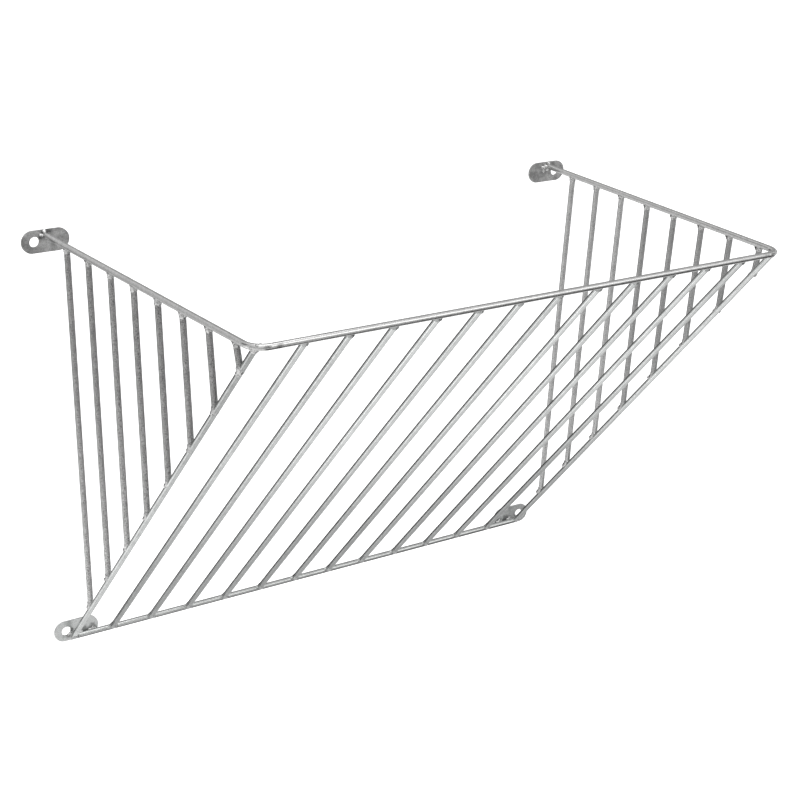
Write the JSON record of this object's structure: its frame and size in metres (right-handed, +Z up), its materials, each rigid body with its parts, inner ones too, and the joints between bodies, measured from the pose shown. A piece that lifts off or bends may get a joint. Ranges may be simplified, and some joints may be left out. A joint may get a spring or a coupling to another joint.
{
  "type": "wall-mounted hay rack feeder",
  "caption": "Wedge-shaped wire rack that bolts to a wall and holds hay behind a slanted front of parallel bars.",
  "frame": {"origin": "middle of the line through the two upper bolt holes, on the wall plane", "axes": "+X along the wall to the right seen from the front, -Y out from the wall to the front rail, +Z up"},
  "size_m": [0.887, 0.514, 0.598],
  "materials": {
    "galvanised_wire": "zinc-coated round wire, bright but not mirror-like, fine speckle",
    "galvanised_plate": "zinc-coated flat strip, dull mid grey with a faint cool tint"
  },
  "bodies": {
    "root": {"rim_wire": "galvanised_wire", "bottom_bar": "galvanised_wire", "front_bar_01": "galvanised_wire", "front_bar_02": "galvanised_wire", "front_bar_03": "galvanised_wire", "front_bar_04": "galvanised_wire", "front_bar_05": "galvanised_wire", "front_bar_06": "galvanised_wire", "front_bar_07": "galvanised_wire", "front_bar_08": "galvanised_wire", "front_bar_09": "galvanised_wire", "front_bar_10": "galvanised_wire", "front_bar_11": "galvanised_wire", "front_bar_12": "galvanised_wire", "front_bar_13": "galvanised_wire", "front_bar_14": "galvanised_wire", "left_side_wire_1": "galvanised_wire", "left_side_wire_2": "galvanised_wire", "left_side_wire_3": "galvanised_wire", "left_side_wire_4": "galvanised_wire", "left_side_wire_5": "galvanised_wire", "left_side_wire_6": "galvanised_wire", "left_side_wire_7": "galvanised_wire", "left_side_wire_8": "galvanised_wire", "right_side_wire_1": "galvanised_wire", "right_side_wire_2": "galvanised_wire", "right_side_wire_3": "galvanised_wire", "right_side_wire_4": "galvanised_wire", "right_side_wire_5": "galvanised_wire", "right_side_wire_6": "galvanised_wire", "right_side_wire_7": "galvanised_wire", "right_side_wire_8": "galvanised_wire", "wall_tab_upper_left": "galvanised_plate", "wall_tab_upper_right": "galvanised_plate", "wall_tab_lower_left": "galvanised_plate", "wall_tab_lower_right": "galvanised_plate"}
  },
  "joints": []
}
